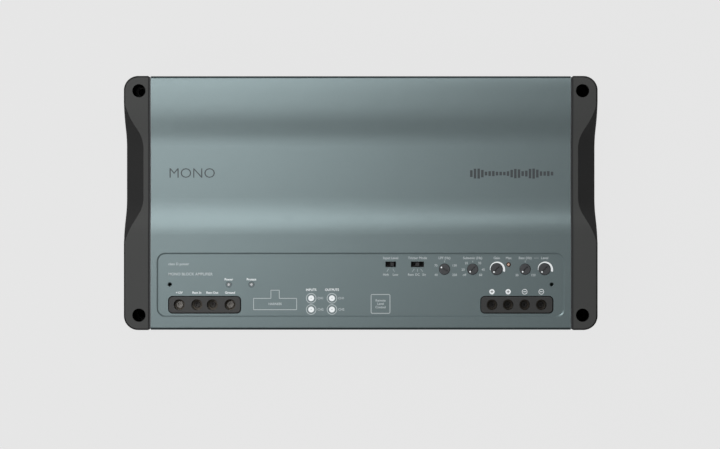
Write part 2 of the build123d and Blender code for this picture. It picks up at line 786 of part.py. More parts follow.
remote_front = connector_y - 0.3
remote_depth = 16.5
with BuildPart() as remote_jack:
    with BuildSketch(Plane.XY.offset(board_top)):
        with Locations((remote_x, connector_inner_y + 0.2 + remote_depth / 2)):
            Rectangle(2 * remote_half, remote_depth)
    extrude(amount=remote_top - board_top)
    # collar through the connector panel
    with BuildSketch(Plane.XZ.offset(-remote_front)):
        with Locations((remote_x, (remote_opening_low + remote_opening_high) / 2)):
            Rectangle(2 * remote_opening_half + 2.4, remote_opening_high - remote_opening_low + 2.4)
    extrude(amount=-3.0)
    # plug cavity with the latch notch below
    with BuildSketch(Plane.XZ.offset(-remote_front)):
        with Locations((remote_x, (remote_opening_low + remote_opening_high) / 2)):
            Rectangle(2 * remote_opening_half, remote_opening_high - remote_opening_low)
    extrude(amount=-13.0, mode=Mode.SUBTRACT)
remote_jack.part.label = "remote_jack"
export_step(remote_jack.part, "parts/remote_jack.step")

with BuildPart() as remote_jack_contacts:
    for i in range(6):
        contact_x = remote_x + (i - 2.5) * 1.27
        with BuildSketch(Plane.YZ.offset(contact_x - 0.2)):
            with BuildLine():
                Polyline(
                    (remote_front + 13.0, remote_opening_high - 0.2),
                    (remote_front + 3.0, remote_opening_high - 0.2),
                    (remote_front + 10.0, remote_opening_high - 2.9),
                    (remote_front + 10.4, remote_opening_high - 2.6),
                    (remote_front + 5.4, remote_opening_high - 0.7),
                    (remote_front + 13.0, remote_opening_high - 0.7),
                    close=True,
                )
            make_face()
        extrude(amount=0.4)
remote_jack_contacts.part.label = "remote_jack_contacts"
export_step(remote_jack_contacts.part, "parts/remote_jack_contacts.step")

# ================================================================ boards and what holds them

with BuildPart() as main_board:
    with BuildSketch(Plane.XY.offset(board_z)):
        with Locations((0, (board_front + board_rear) / 2)):
            RectangleRounded(2 * board_half, board_rear - board_front, 2.0)
    extrude(amount=board_thickness)
    with Locations(*[(x, y, board_top) for x, y in standoff_places]):
        Hole(1.6, depth=board_thickness)
main_board.part.label = "main_board"
export_step(main_board.part, "parts/main_board.step")

with BuildPart() as control_board:
    with BuildSketch(Plane.XY.offset(control_z)):
        with Locations(((control_left + control_right) / 2, (control_front + control_rear) / 2)):
            RectangleRounded(control_right - control_left, control_rear - control_front, 1.5)
    extrude(amount=board_thickness)
    with Locations(*[(x, y, control_top) for x, y in spacer_places]):
        Hole(1.6, depth=board_thickness)
control_board.part.label = "control_board"
export_step(control_board.part, "parts/control_board.step")

with BuildPart() as board_link_header:
    with BuildSketch(Plane.XY.offset(board_top)):
        with Locations((80.0, -44.5)):
            Rectangle(32.0, 5.0)
    extrude(amount=control_z - board_top)
board_link_header.part.label = "board_link_header"
export_step(board_link_header.part, "parts/board_link_header.step")

with BuildPart() as control_board_spacers:
    with BuildSketch(Plane.XY.offset(board_top)):
        with Locations(*spacer_places):
            RegularPolygon(2.75, 6, major_radius=False)
            Circle(m3_thread_radius, mode=Mode.SUBTRACT)
    extrude(amount=control_z - board_top)
control_board_spacers.part.label = "control_board_spacers"
export_step(control_board_spacers.part, "parts/control_board_spacers.step")

with BuildPart() as board_standoffs:
    with BuildSketch(Plane.XY.offset(base_top)):
        with Locations(*standoff_places):
            RegularPolygon(3.0, 6, major_radius=False)
            Circle(m3_thread_radius, mode=Mode.SUBTRACT)
    extrude(amount=board_z - base_top)
board_standoffs.part.label = "board_standoffs"
export_step(board_standoffs.part, "parts/board_standoffs.step")

clamp_front = rear_wall_inner - transistor_thickness - 2.5
with BuildPart() as board_screws:
    pan_seats = [Plane((x, y, board_top)) for x, y in standoff_places]
    pan_seats += [Plane((x, y, control_top)) for x, y in spacer_places]
    pan_seats += [Plane((x, clamp_front, clamp_z), z_dir=(0, -1, 0)) for x in clamp_screws_x]
    pan_lengths = [4.5] * len(standoff_places) + [6.0] * len(spacer_places) + [12.0] * len(clamp_screws_x)
    for seat, shank in zip(pan_seats, pan_lengths):
        with BuildSketch(seat):
            Circle(m3_head_radius)
        extrude(amount=m3_head_height)
        with BuildSketch(seat):
            Circle(m3_radius)
        extrude(amount=-shank)
        with BuildSketch(seat.offset(m3_head_height)):
            Rectangle(3.0, 0.7)
            Rectangle(0.7, 3.0)
        extrude(amount=-1.2, mode=Mode.SUBTRACT)
board_screws.part.label = "board_screws"
export_step(board_screws.part, "parts/board_screws.step")

# ================================================================ power parts on the main board

# Ring cores wound in sectors: centres, outer radius, inner radius, height, sectors, arc of each
winding_thickness = 2.4
core_gap = 0.15
rings = {
    "transformer": ([(-62.0, 12.0)], 27.0, 14.0, 20.0, 2, 160),
    "output_choke": ([(72.0, 22.0), (118.0, 22.0)], 17.0, 9.0, 14.0, 1, 310),
}

for name, (centres, outer, inner, core_height, sectors, arc) in rings.items():
    core_base = board_top + winding_thickness + 2 * core_gap
    core_middle = (outer + inner) / 2
    core_width = outer - inner
    with BuildPart() as core:
        with BuildSketch(Plane.XY.offset(core_base)):
            with Locations(*centres):
                Circle(outer)
                Circle(inner, mode=Mode.SUBTRACT)
        extrude(amount=core_height)
    core.part.label = f"{name}_core"
    export_step(core.part, f"parts/{name}_core.step")
    with BuildPart() as windings:
        for x, y in centres:
            for i in range(sectors):
                outward = Vector(1, 0, 0).rotate(Axis.Z, 360.0 * i / sectors)
                across = outward.rotate(Axis.Z, -90)
                with BuildSketch(Plane((x, y, core_base + core_height / 2), x_dir=outward, z_dir=across)):
                    with Locations((core_middle, 0)):
                        RectangleRounded(
                            core_width + 2 * (winding_thickness + core_gap),
                            core_height + 2 * (winding_thickness + core_gap),
                            2.0,
                        )
                        Rectangle(core_width + 2 * core_gap, core_height + 2 * core_gap, mode=Mode.SUBTRACT)
                revolve(axis=Axis((x, y, 0), (0, 0, 1)), revolution_arc=arc)
    windings.part.label = f"{name}_windings"
    export_step(windings.part, f"parts/{name}_windings.step")

capacitor_height = 30.0
capacitor_banks = {
    "input": ([(-142.0 + 19.0 * i, -38.0) for i in range(5)], 8.0),
    "rail": ([(x, y) for x in (-2.0, 18.0) for y in (0.0, 20.0, 40.0)], 9.0),
}

for name, (places, radius) in capacitor_banks.items():
    with BuildPart() as capacitors:
        with BuildSketch(Plane.XY.offset(board_top)):
            with Locations(*places):
                Circle(radius)
        extrude(amount=capacitor_height)
        # vent cross pressed into the top of each can
        with BuildSketch(Plane.XY.offset(board_top + capacitor_height)):
            with Locations(*places):
                Rectangle(radius * 1.2, 0.5)
                Rectangle(0.5, radius * 1.2)
        extrude(amount=-0.4, mode=Mode.SUBTRACT)
    capacitors.part.label = f"{name}_capacitors"
    export_step(capacitors.part, f"parts/{name}_capacitors.step")

with BuildPart() as transistors:
    first_transistor = -(transistor_count - 1) / 2 * transistor_pitch
    transistor_places = [first_transistor + i * transistor_pitch for i in range(transistor_count)]
    body_y = rear_wall_inner - transistor_thickness
    with BuildSketch(Plane.XZ.offset(-rear_wall_inner)):
        with Locations(*[(x, transistor_z + transistor_height / 2) for x in transistor_places]):
            Rectangle(transistor_width, transistor_height)
    extrude(amount=transistor_thickness)
    # three legs down and forward into the board
    for x in transistor_places:
        for leg in (-2.54, 0.0, 2.54):
            with BuildSketch(Plane.YZ.offset(x + leg - 0.4)):
                with BuildLine():
                    Polyline(
                        (body_y + 1.8, transistor_z),
                        (body_y + 1.8, transistor_z - 1.2),
                        (85.6, board_top + 0.6),
                        (85.6, board_top),
                        (86.4, board_top),
                        (body_y + 2.6, transistor_z - 1.8),
                        (body_y + 2.6, transistor_z),
                        close=True,
                    )
                make_face()
            extrude(amount=0.8)
transistors.part.label = "transistors"
export_step(transistors.part, "parts/transistors.step")

with BuildPart() as transistor_clamp:
    with BuildSketch(Plane.XZ.offset(-(clamp_front + 2.5))):
        with Locations((0, clamp_z)):
            RectangleRounded(284.0, 8.0, 1.5)
        with Locations(*[(x, clamp_z) for x in clamp_screws_x]):
            Circle(1.6, mode=Mode.SUBTRACT)
    extrude(amount=2.5)
transistor_clamp.part.label = "transistor_clamp"
export_step(transistor_clamp.part, "parts/transistor_clamp.step")
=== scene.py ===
"""Looks of a car audio amplifier: materials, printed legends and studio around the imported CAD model."""

import json
import math

import bpy
import bmesh
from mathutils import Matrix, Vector


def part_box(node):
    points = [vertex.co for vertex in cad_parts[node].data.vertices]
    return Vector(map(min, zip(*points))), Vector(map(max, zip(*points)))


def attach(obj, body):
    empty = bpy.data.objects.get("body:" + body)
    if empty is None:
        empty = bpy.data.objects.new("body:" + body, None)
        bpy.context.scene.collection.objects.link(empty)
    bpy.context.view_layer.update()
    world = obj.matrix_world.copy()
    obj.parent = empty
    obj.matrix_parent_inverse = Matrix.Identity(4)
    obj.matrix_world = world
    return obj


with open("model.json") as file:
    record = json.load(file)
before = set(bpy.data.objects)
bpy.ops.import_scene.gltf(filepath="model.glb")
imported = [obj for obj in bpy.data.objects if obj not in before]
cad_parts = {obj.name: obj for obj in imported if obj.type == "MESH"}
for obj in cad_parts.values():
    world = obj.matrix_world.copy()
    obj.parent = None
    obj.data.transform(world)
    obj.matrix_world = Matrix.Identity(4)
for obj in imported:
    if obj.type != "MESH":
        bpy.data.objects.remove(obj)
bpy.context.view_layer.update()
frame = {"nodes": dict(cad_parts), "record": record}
nodes = frame["nodes"]

MM = 0.001
CHASSIS = "chassis"

# ---------------------------------------------------------------- places, read from the frame


def centre_of(node):
    """Middle of a node's box at rest."""
    low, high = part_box(node)
    return (Vector(low) + Vector(high)) / 2


RECESS_DEPTH = 1.2 * MM
VALLEY_DEPTH = 3.6 * MM
INK_LIFT = 0.02 * MM
crest_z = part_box("heatsink_body")[1][2]
ink_z = crest_z - RECESS_DEPTH + INK_LIFT
valley_ink_z = crest_z - VALLEY_DEPTH + INK_LIFT

POWER_TERMINALS = ("12v", "remote_in", "remote_out", "ground")
SPEAKER_TERMINALS = ("speaker_plus_1", "speaker_plus_2", "speaker_minus_1", "speaker_minus_2")

# ---------------------------------------------------------------- material helpers


class Shader:
    """A node material built step by step, with object coordinates in metres."""

    def __init__(self, name, color, roughness, metallic=0.0):
        self.material = bpy.data.materials.new(name)
        self.material.use_nodes = True
        self.tree = self.material.node_tree
        self.bsdf = self.tree.nodes["Principled BSDF"]
        self.color = color
        self.roughness = roughness
        self.bsdf.inputs["Base Color"].default_value = (*color, 1.0)
        self.bsdf.inputs["Roughness"].default_value = roughness
        self.bsdf.inputs["Metallic"].default_value = metallic
        self.coords = self.tree.nodes.new("ShaderNodeTexCoord").outputs["Object"]
        self.normal = None

    def set(self, socket, value):
        self.bsdf.inputs[socket].default_value = value

    def link(self, source, target):
        self.tree.links.new(source, target)

    def stretched(self, scale):
        mapping = self.tree.nodes.new("ShaderNodeMapping")
        mapping.inputs["Scale"].default_value = scale
        self.link(self.coords, mapping.inputs["Vector"])
        return mapping.outputs["Vector"]

    def noise(self, size, detail=2.0, rough=0.5, scale=(1, 1, 1)):
        """Noise whose features are about size metres across."""
        texture = self.tree.nodes.new("ShaderNodeTexNoise")
        texture.inputs["Scale"].default_value = 1.0 / size
        texture.inputs["Detail"].default_value = detail
        texture.inputs["Roughness"].default_value = rough
        self.link(self.stretched(scale), texture.inputs["Vector"])
        return texture.outputs["Fac"]

    def remap(self, value, low, high, from_low=0.3, from_high=0.7):
        node = self.tree.nodes.new("ShaderNodeMapRange")
        node.inputs["From Min"].default_value = from_low
        node.inputs["From Max"].default_value = from_high
        node.inputs["To Min"].default_value = low
        node.inputs["To Max"].default_value = high
        self.link(value, node.inputs["Value"])
        return node.outputs["Result"]

    def math(self, operation, a, b):
        node = self.tree.nodes.new("ShaderNodeMath")
        node.operation = operation
        for socket, value in zip(node.inputs, (a, b)):
            if isinstance(value, (int, float)):
                socket.default_value = value
            else:
                self.link(value, socket)
        return node.outputs["Value"]

    def tint(self, factor, color_a, color_b):
        """Base colour between two colours by factor; color_a may be the result of an earlier tint."""
        mix = self.tree.nodes.new("ShaderNodeMix")
        mix.data_type = "RGBA"
        mix.inputs["B"].default_value = (*color_b, 1.0)
        if isinstance(color_a, tuple):
            mix.inputs["A"].default_value = (*color_a, 1.0)
        else:
            self.link(color_a, mix.inputs["A"])
        self.link(factor, mix.inputs["Factor"])
        self.link(mix.outputs["Result"], self.bsdf.inputs["Base Color"])
        return mix.outputs["Result"]

    def beyond(self, axis, distance):
        """1 where the place along an axis is further than distance from the middle, else 0."""
        axes = self.tree.nodes.new("ShaderNodeSeparateXYZ")
        self.link(self.coords, axes.inputs["Vector"])
        away = self.math("ABSOLUTE", axes.outputs[axis], 0.0)
        return self.remap(away, 0, 1, distance - 0.1 * MM, distance + 0.1 * MM)

    def vary_color(self, factor, amount):
        """Base colour a little darker and lighter than the named colour."""
        dark = tuple(max(c * (1 - amount), 0.0) for c in self.color)
        light = tuple(min(c * (1 + amount), 1.0) for c in self.color)
        return self.tint(factor, dark, light)

    def vary_roughness(self, factor, amount):
        low, high = self.roughness - amount, self.roughness + amount
        self.link(self.remap(factor, low, high), self.bsdf.inputs["Roughness"])

    def facing_up(self, low, high):
        """0 on faces steeper than low, 1 on faces flatter than high, by the height of the normal."""
        axes = self.tree.nodes.new("ShaderNodeSeparateXYZ")
        self.link(self.tree.nodes.new("ShaderNodeNewGeometry").outputs["Normal"], axes.inputs["Vector"])
        return self.remap(axes.outputs["Z"], 0, 1, low, high)

    def bump(self, height, depth, strength=1.0):
        """Bump of depth metres, on top of any bump added before."""
        node = self.tree.nodes.new("ShaderNodeBump")
        node.inputs["Strength"].default_value = strength
        node.inputs["Distance"].default_value = depth
        self.link(height, node.inputs["Height"])
        if self.normal is not None:
            self.link(self.normal, node.inputs["Normal"])
        self.normal = node.outputs["Normal"]
        self.link(self.normal, self.bsdf.inputs["Normal"])


# where the painted shade and the bare metal of the cover begin, from its middle
FINNED_SIDE = 92.5 * MM
ROUNDED_EDGE = 99.6 * MM
CUT_END = 167.6 * MM


def anodised_aluminium():
    """Speckled grey-green, with painted shade on the steep faces of the finned sides and on the rounded
    edges, bare metal on the cut ends.
    """
    s = Shader("anodised_aluminium", (0.158, 0.2, 0.206), 0.42, metallic=0.9)
    grain = s.noise(0.45 * MM, detail=3.0)
    cloud = s.noise(22 * MM, detail=2.0)
    mottle = s.math("ADD", s.math("MULTIPLY", grain, 0.85), s.math("MULTIPLY", cloud, 0.15))
    speckle = s.remap(mottle, 0.8, 1.0)
    middle = s.math("SUBTRACT", 1.0, s.beyond("Y", FINNED_SIDE))
    # painted shade: steep faces on the finned sides get the darker colour (0.095, 0.122, 0.127); the
    # middle and the flat faces keep the lighter one
    face_outside_painted_shade = s.math("MAXIMUM", s.facing_up(0.3, 0.8), middle)
    color = s.tint(s.math("MULTIPLY", face_outside_painted_shade, speckle), (0.095, 0.122, 0.127), (0.166, 0.21, 0.216))
    # painted shade: a near-black colour on the rounded front and rear edges
    painted_edge_shade = s.math("MULTIPLY", s.beyond("Y", ROUNDED_EDGE), s.facing_up(0.1, 0.3))
    color = s.tint(painted_edge_shade, color, (0.03, 0.04, 0.042))
    s.tint(s.beyond("X", CUT_END), color, (0.36, 0.39, 0.4))
    s.vary_roughness(grain, 0.05)
    s.bump(grain, 0.012 * MM, 0.5)
    return s.material


def powder_coat():
    """Satin black with grit on the faces that look up; painted shade gives the scoops and sides a
    near-black base colour, and they are rougher.
    """
    s = Shader("black_powder_coat", (0.054, 0.055, 0.054), 0.55)
    s.set("Specular IOR Level", 0.08)
    grit = s.noise(0.5 * MM, detail=3.0, rough=0.6)
    # painted shade: steep faces such as the scoops and sides get (0.01, 0.01, 0.01) in place of the satin
    # black, which keeps its grit
    grit_and_painted_shade = s.math("MULTIPLY", s.facing_up(0.9, 0.965), s.remap(grit, 0.8, 1.0))
    s.tint(grit_and_painted_shade, (0.01, 0.01, 0.01), s.color)
    s.link(s.remap(grit_and_painted_shade, 0.75, 0.45, 0, 1), s.bsdf.inputs["Roughness"])
    s.bump(grit, 0.05 * MM, 0.6)
    return s.material


def black_rubber():
    s = Shader("black_rubber", (0.012, 0.012, 0.013), 0.75)
    pores = s.noise(0.6 * MM, detail=2.0)
    s.vary_color(pores, 0.2)
    s.bump(pores, 0.03 * MM, 0.5)
    return s.material


def satin_black_steel():
    s = Shader("satin_black_steel", (0.022, 0.022, 0.024), 0.42)
    peel = s.noise(1.6 * MM, detail=1.0)
    dust = s.noise(0.4 * MM, detail=2.0)
    s.vary_color(dust, 0.12)
    s.vary_roughness(peel, 0.06)
    s.bump(peel, 0.02 * MM, 0.4)
    return s.material


def metal(name, color, roughness, grain_size=0.25 * MM, stretch=(1, 1, 1), variation=0.08):
    s = Shader(name, color, roughness, metallic=1.0)
    grain = s.noise(grain_size, detail=2.0, scale=stretch)
    wear = s.noise(3 * MM, detail=3.0)
    s.vary_color(wear, variation)
    s.vary_roughness(grain, min(roughness * 0.35, 0.1))
    s.bump(grain, 0.006 * MM, 0.5)
    return s.material


def moulded_plastic(name, color, roughness, grit_depth=0.02 * MM):
    s = Shader(name, color, roughness)
    grit = s.noise(0.35 * MM, detail=2.0)
    flow = s.noise(9 * MM, detail=2.0)
    s.vary_color(flow, 0.12)
    s.vary_roughness(grit, 0.06)
    s.bump(grit, grit_depth, 0.5)
    return s.material


def lens(name, color, painted_crown_highlight, transmission=0.35):
    """Clear or tinted dome, with a painted highlight: a paler colour on its crown where it looks up."""
    s = Shader(name, color, 0.12)
    s.set("IOR", 1.49)
    s.set("Transmission Weight", transmission)
    # painted highlight: the crown colour on the faces of the dome that look up
    s.tint(s.facing_up(0.8, 0.93), color, painted_crown_highlight)
    haze = s.noise(0.8 * MM, detail=2.0)
    s.vary_roughness(haze, 0.05)
    return s.material


def circuit_board():
    s = Shader("green_circuit_board", (0.012, 0.085, 0.04), 0.32)
    traces = s.tree.nodes.new("ShaderNodeTexBrick")
    traces.inputs["Scale"].default_value = 1.0 / (9 * MM)
    traces.inputs["Mortar Size"].default_value = 0.035
    traces.inputs["Color1"].default_value = (0, 0, 0, 1)
    traces.inputs["Color2"].default_value = (0, 0, 0, 1)
    traces.inputs["Mortar"].default_value = (1, 1, 1, 1)
    s.link(s.coords, traces.inputs["Vector"])
    s.tint(traces.outputs["Fac"], s.color, (0.03, 0.17, 0.075))
    s.bump(traces.outputs["Fac"], 0.035 * MM, 0.8)
    return s.material


def wound_copper():
    s = Shader("enamelled_copper_wire", (0.42, 0.13, 0.045), 0.3, metallic=0.85)
    wave = s.tree.nodes.new("ShaderNodeTexWave")
    wave.wave_type = "RINGS"
    wave.rings_direction = "Z"
    wave.inputs["Scale"].default_value = 1.0 / (3.2 * MM)
    wave.inputs["Distortion"].default_value = 0.4
    s.link(s.coords, wave.inputs["Vector"])
    s.vary_color(wave.outputs["Fac"], 0.35)
    s.bump(wave.outputs["Fac"], 0.3 * MM, 0.8)
    return s.material


def printed_ink(name, color):
    s = Shader(name, color, 0.55)
    mottle = s.noise(0.5 * MM, detail=1.0)
    s.vary_color(mottle, 0.05)
    s.bump(mottle, 0.005 * MM, 0.4)
    return s.material


MATERIALS = {
    "anodised_cover": anodised_aluminium(),
    "cast_cap": powder_coat(),
    "gasket": black_rubber(),
    "black_steel": satin_black_steel(),
    "black_screw": metal("black_oxide", (0.06, 0.06, 0.062), 0.38),
    "black_plastic": moulded_plastic("moulded_black", (0.0165, 0.0168, 0.0165), 0.5),
    "knob_plastic": moulded_plastic("knob_grey", (0.035, 0.037, 0.04), 0.42),
    "lever_plastic": moulded_plastic("lever_grey", (0.014, 0.0145, 0.016), 0.5),
    "plated_brass": metal("plated_brass", (0.09, 0.08, 0.068), 0.36),
    "nickel": metal("nickel", (0.2, 0.188, 0.175), 0.3),
    "dark_steel": metal("dark_zinc", (0.07, 0.067, 0.064), 0.4),
    "amber_lens": lens("amber_lens", (0.2, 0.085, 0.045), (0.62, 0.45, 0.36), 0.3),
    "clear_lens": lens("clear_lens", (0.12, 0.13, 0.13), (0.8, 0.84, 0.86), 0.5),
    "jack_insulator": moulded_plastic("jack_white", (0.68, 0.66, 0.6), 0.35),
    "gold": metal("gold_plate", (0.83, 0.58, 0.24), 0.22),
    "circuit_board": circuit_board(),
    "zinc_screw": metal("zinc", (0.55, 0.55, 0.56), 0.32),
    "ferrite": moulded_plastic("ferrite_green", (0.03, 0.12, 0.08), 0.4),
    "copper_winding": wound_copper(),
    "capacitor_can": moulded_plastic("capacitor_sleeve", (0.015, 0.017, 0.035), 0.25),
    "transistor_epoxy": moulded_plastic("epoxy", (0.02, 0.02, 0.02), 0.5),
    "clamp_steel": metal("bar_steel", (0.5, 0.5, 0.5), 0.4, stretch=(0.05, 1, 1)),
}
WHITE_INK = printed_ink("white_ink", (0.75, 0.78, 0.79))
GREY_INK = printed_ink("grey_ink", (0.4, 0.44, 0.45))
DARK_INK = printed_ink("dark_ink", (0.03, 0.036, 0.04))

for subpart in frame["record"]["subparts"]:
    piece = nodes[subpart["node"]]
    piece.data.materials.clear()
    piece.data.materials.append(MATERIALS[subpart["material_slot"]])

# ---------------------------------------------------------------- printed legends

CAPITAL_HEIGHT = 0.73  # of the letter size


def finish_piece(name, mesh, material, body):
    piece = bpy.data.objects.new(name, mesh)
    bpy.context.scene.collection.objects.link(piece)
    mesh.materials.append(material)
    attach(piece, body)
    return piece


def flat_piece(name, outlines, z, material, body=CHASSIS):
    """Thin ink made of closed outlines, each a list of (x, y) in millimetres, seen from above."""
    mesh = bpy.data.meshes.new(name)
    form = bmesh.new()
    for outline in outlines:
        form.faces.new([form.verts.new((x * MM, y * MM, z)) for x, y in outline])
    bmesh.ops.triangulate(form, faces=form.faces)
    form.to_mesh(mesh)
    form.free()
    return finish_piece(name, mesh, material, body)


def arc_points(x, y, radius, start, end, steps):
    turns = [math.radians(start + (end - start) * i / steps) for i in range(steps + 1)]
    return [(x + radius * math.cos(a), y + radius * math.sin(a)) for a in turns]


def disc(x, y, radius, steps=32):
    return arc_points(x, y, radius, 0, 360 - 360 / steps, steps - 1)


def band(outer, inner):
    """Quads between two open rows of points with the same count."""
    return [[outer[i], outer[i + 1], inner[i + 1], inner[i]] for i in range(len(outer) - 1)]


def ring(x, y, radius, width, steps=40):
    outer = arc_points(x, y, radius + width / 2, 0, 360, steps)
    inner = arc_points(x, y, radius - width / 2, 0, 360, steps)
    return band(outer, inner)


def stroke(points, width):
    """Runs between points drawn with a pen of the given width, one quad per run, with square ends."""
    quads = []
    for (x0, y0), (x1, y1) in zip(points, points[1:]):
        run = math.hypot(x1 - x0, y1 - y0)
        ax, ay = (x1 - x0) / run * width / 2, (y1 - y0) / run * width / 2
        start = [(x0 - ax - ay, y0 - ay + ax), (x0 - ax + ay, y0 - ay - ax)]
        end = [(x1 + ax + ay, y1 + ay - ax), (x1 + ax - ay, y1 + ay + ax)]
        quads.append(start + end)
    return quads


def rounded_square(x, y, half, radius, steps=6):
    """Points around a square with round corners, from its right side, anticlockwise."""
    inset = half - radius
    corners = [(inset, inset), (-inset, inset), (-inset, -inset), (inset, -inset)]
    points = []
    for quarter, (cx, cy) in enumerate(corners):
        points += arc_points(x + cx, y + cy, radius, 90 * quarter, 90 * quarter + 90, steps)
    return points


def text(name, words, x, y, z, height, material=GREY_INK, align="CENTER", weight=0.05, width=1.0):
    """Letters whose capitals are height millimetres tall, centred on y."""
    curve = bpy.data.curves.new(name, "FONT")
    curve.body = words
    curve.align_x = align
    curve.align_y = "CENTER"
    curve.size = height / CAPITAL_HEIGHT * MM
    curve.offset = weight * MM
    curve.resolution_u = 3
    letters = bpy.data.objects.new(name + "_curve", curve)
    bpy.context.scene.collection.objects.link(letters)
    bpy.context.view_layer.update()
    mesh = bpy.data.meshes.new_from_object(letters.evaluated_get(bpy.context.evaluated_depsgraph_get()))
    bpy.data.objects.remove(letters)
    bpy.data.curves.remove(curve)
    for vertex in mesh.vertices:
        vertex.co.x = vertex.co.x * width + x * MM
        vertex.co.y += y * MM
        vertex.co.z = z
    mesh.name = name
    return finish_piece(name, mesh, material, CHASSIS)


# rows and sizes of the legends, in millimetres
HEADING = 2.0
SMALL = 1.85
HEADING_Y = -44.0
LIGHT_LABEL_Y = -61.1
POWER_LABEL_Y = -71.7
SPEAKER_SIGN_Y = -70.9
JACK_HEADING_Y = -69.4
JACK_ROWS = ((1, -76.1), (2, -85.1))
HARNESS_Y = -80.7
REMOTE_Y = -80.6
SWITCH_WORDS_Y = -57.3
SWITCH_TICKS = (-52.7, -54.8)
LEFT_MARGIN = -153.8
VALLEY_MARKS_Y = 23.5


def column(node):
    """Millimetres along the cover of the middle of a node."""
    return centre_of(node).x / MM


# terminals and lights
for node, words in zip(POWER_TERMINALS, ("+12V", "Rem In", "Rem Out", "Ground")):
    text(f"label_{node}", words, column(f"set_screw_{node}"), POWER_LABEL_Y, ink_z, SMALL, WHITE_INK)
for node in SPEAKER_TERMINALS:
    x, y = column(f"set_screw_{node}"), SPEAKER_SIGN_Y
    if "plus" in node:
        flat_piece(f"mark_{node}", [disc(x, y, 2.1)], ink_z, WHITE_INK)
        cross = stroke([(x - 0.95, y), (x + 0.95, y)], 0.5) + stroke([(x, y - 0.95), (x, y + 0.95)], 0.5)
        flat_piece(f"sign_{node}", cross, ink_z + INK_LIFT, DARK_INK)
    else:
        dash = stroke([(x - 0.95, y), (x + 0.95, y)], 0.45)
        flat_piece(f"mark_{node}", ring(x, y, 1.95, 0.4) + dash, ink_z, WHITE_INK)
for node, words in (("power_light_pipe", "Power"), ("protect_light_pipe", "Protect")):
    x, y = column(node), centre_of(node).y / MM
    text(f"label_{node}", words, x, LIGHT_LABEL_Y, ink_z, SMALL, WHITE_INK)
    # painted shade: a dark ink ring around each light pipe stands in for the shade in the hole around its
    # lens
    flat_piece(f"ring_{node}", ring(x, y, 2.3, 0.3), ink_z, DARK_INK)

# descriptive lines
text("label_class", "class D power", LEFT_MARGIN, -48.8, ink_z, 2.1, GREY_INK, align="LEFT")
text("label_type", "MONO BLOCK AMPLIFIER", LEFT_MARGIN, -56.9, ink_z, 2.25, GREY_INK, align="LEFT")

# wiring harness: the outline of a plug with its latch
PLUG_HALF_LENGTH, PLUG_HALF_DEPTH = 17.2, 4.5
LATCH_HALF_WIDTH, LATCH_TOP = 3.35, 11.0
harness_x = column("harness_header") - 0.2
plug_outline = [
    (harness_x + dx, HARNESS_Y + dy)
    for dx, dy in (
        (-PLUG_HALF_LENGTH, -PLUG_HALF_DEPTH),
        (PLUG_HALF_LENGTH, -PLUG_HALF_DEPTH),
        (PLUG_HALF_LENGTH, PLUG_HALF_DEPTH),
        (LATCH_HALF_WIDTH, PLUG_HALF_DEPTH),
        (LATCH_HALF_WIDTH, LATCH_TOP),
        (-LATCH_HALF_WIDTH, LATCH_TOP),
        (-LATCH_HALF_WIDTH, PLUG_HALF_DEPTH),
        (-PLUG_HALF_LENGTH, PLUG_HALF_DEPTH),
        (-PLUG_HALF_LENGTH, -PLUG_HALF_DEPTH),
    )
]
flat_piece("harness_outline", stroke(plug_outline, 0.5), ink_z, GREY_INK)
text("label_harness", "HARNESS", harness_x, HARNESS_Y, ink_z, SMALL)

# phono jacks
for x, heading in ((-39.6, "INPUTS"), (-23.0, "OUTPUTS")):
    text(f"label_{heading.lower()}", heading, x, JACK_HEADING_Y, ink_z, SMALL, WHITE_INK)
    for channel, y in JACK_ROWS:
        tag = f"{heading.lower()}_{channel}"
        flat_piece(f"disc_{tag}", [disc(x, y, 2.35)], ink_z, WHITE_INK)
        flat_piece(f"pin_{tag}", [disc(x, y, 0.45, 16)], ink_z + INK_LIFT, GREY_INK)
        flat_piece(f"ring_{tag}", ring(x, y, 3.85, 0.55), ink_z, GREY_INK)
        text(f"label_{tag}", f"CH{channel}", x + 5.0, y, ink_z, SMALL, align="LEFT")

# remote control jack: a rounded frame, closed where its rows of points start
FRAME_HALF, FRAME_RADIUS, FRAME_LINE = 7.8, 1.3, 0.55
remote_x = column("remote_jack")
frame_start_y = REMOTE_Y + FRAME_HALF - FRAME_RADIUS
frame_rows = []
for inset in (0.0, FRAME_LINE):
    row = rounded_square(remote_x, REMOTE_Y, FRAME_HALF - inset, FRAME_RADIUS - inset)
    frame_rows.append(row + [(remote_x + FRAME_HALF - inset, frame_start_y)])
flat_piece("remote_outline", band(*frame_rows), ink_z, GREY_INK)
for words, line in (("Remote", 2.7), ("Level", 0.0), ("Control", -2.7)):
    text(f"label_remote_{words.lower()}", words, remote_x, REMOTE_Y + line, ink_z, SMALL)

# switches
switch_words = {
    "input_level": ("Input Level", ("High", "Low")),
    "trigger_mode": ("Trigger Mode", ("Rem", "DC", "Sig")),
}
for switch, (heading, places) in switch_words.items():
    x = column(f"{switch}_switch_housing")
    text(f"label_{switch}", heading, x, HEADING_Y, ink_z, HEADING)
    spread = 3.3 if len(places) == 2 else 4.6
    for i, words in enumerate(places):
        offset = (i / (len(places) - 1) * 2 - 1) * spread
        place = f"{switch}_{words.lower()}"
        text(f"label_{place}", words, x + offset * 1.15, SWITCH_WORDS_Y, ink_z, SMALL)
        tick = stroke(list(zip((x + offset * 0.55, x + offset * 0.9), SWITCH_TICKS)), 0.3)
        flat_piece(f"tick_{place}", tick, ink_z, GREY_INK)

